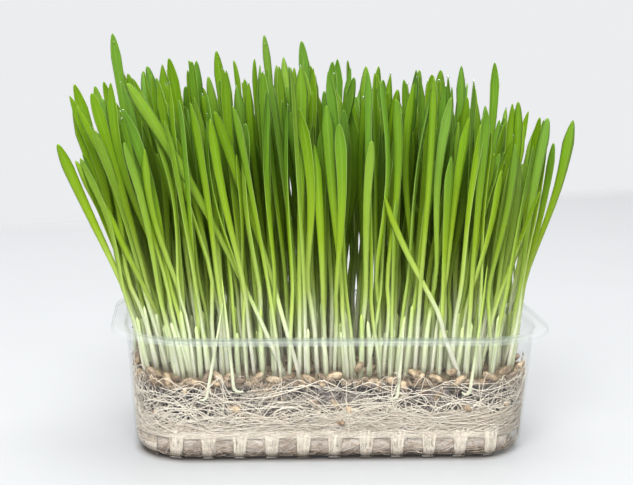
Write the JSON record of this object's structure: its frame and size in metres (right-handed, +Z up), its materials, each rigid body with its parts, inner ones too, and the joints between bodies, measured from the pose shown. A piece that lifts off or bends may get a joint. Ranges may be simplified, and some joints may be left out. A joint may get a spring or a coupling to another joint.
{
  "type": "barley grass tray",
  "caption": "Clear ribbed tray of growing barley grass: blades rising from sprouted grain and dark soil over a felt of roots that fills the channels of the floor.",
  "frame": {"origin": "middle of the tray's foot, on the surface that it stands on", "axes": "+Z up, +X along the tray, so the pictured long side faces -Y"},
  "size_m": [0.2194, 0.112, 0.177],
  "materials": {
    "clear_plastic": "clear thermoformed plastic, glossy",
    "root_felt": "cream felted roots, matt",
    "dark_soil": "moist dark soil, matt",
    "barley_grain": "tan barley husks, satin",
    "barley_green": "grass blades, satin"
  },
  "bodies": {
    "root": {"tray": "clear_plastic", "root_mat": "root_felt", "soil": "dark_soil", "grain_layer": "barley_grain", "grass_row_1": "barley_green", "grass_row_2": "barley_green", "grass_row_3": "barley_green", "grass_row_4": "barley_green", "grass_row_5": "barley_green", "grass_row_6": "barley_green", "grass_row_7": "barley_green", "grass_row_8": "barley_green"}
  },
  "joints": []
}
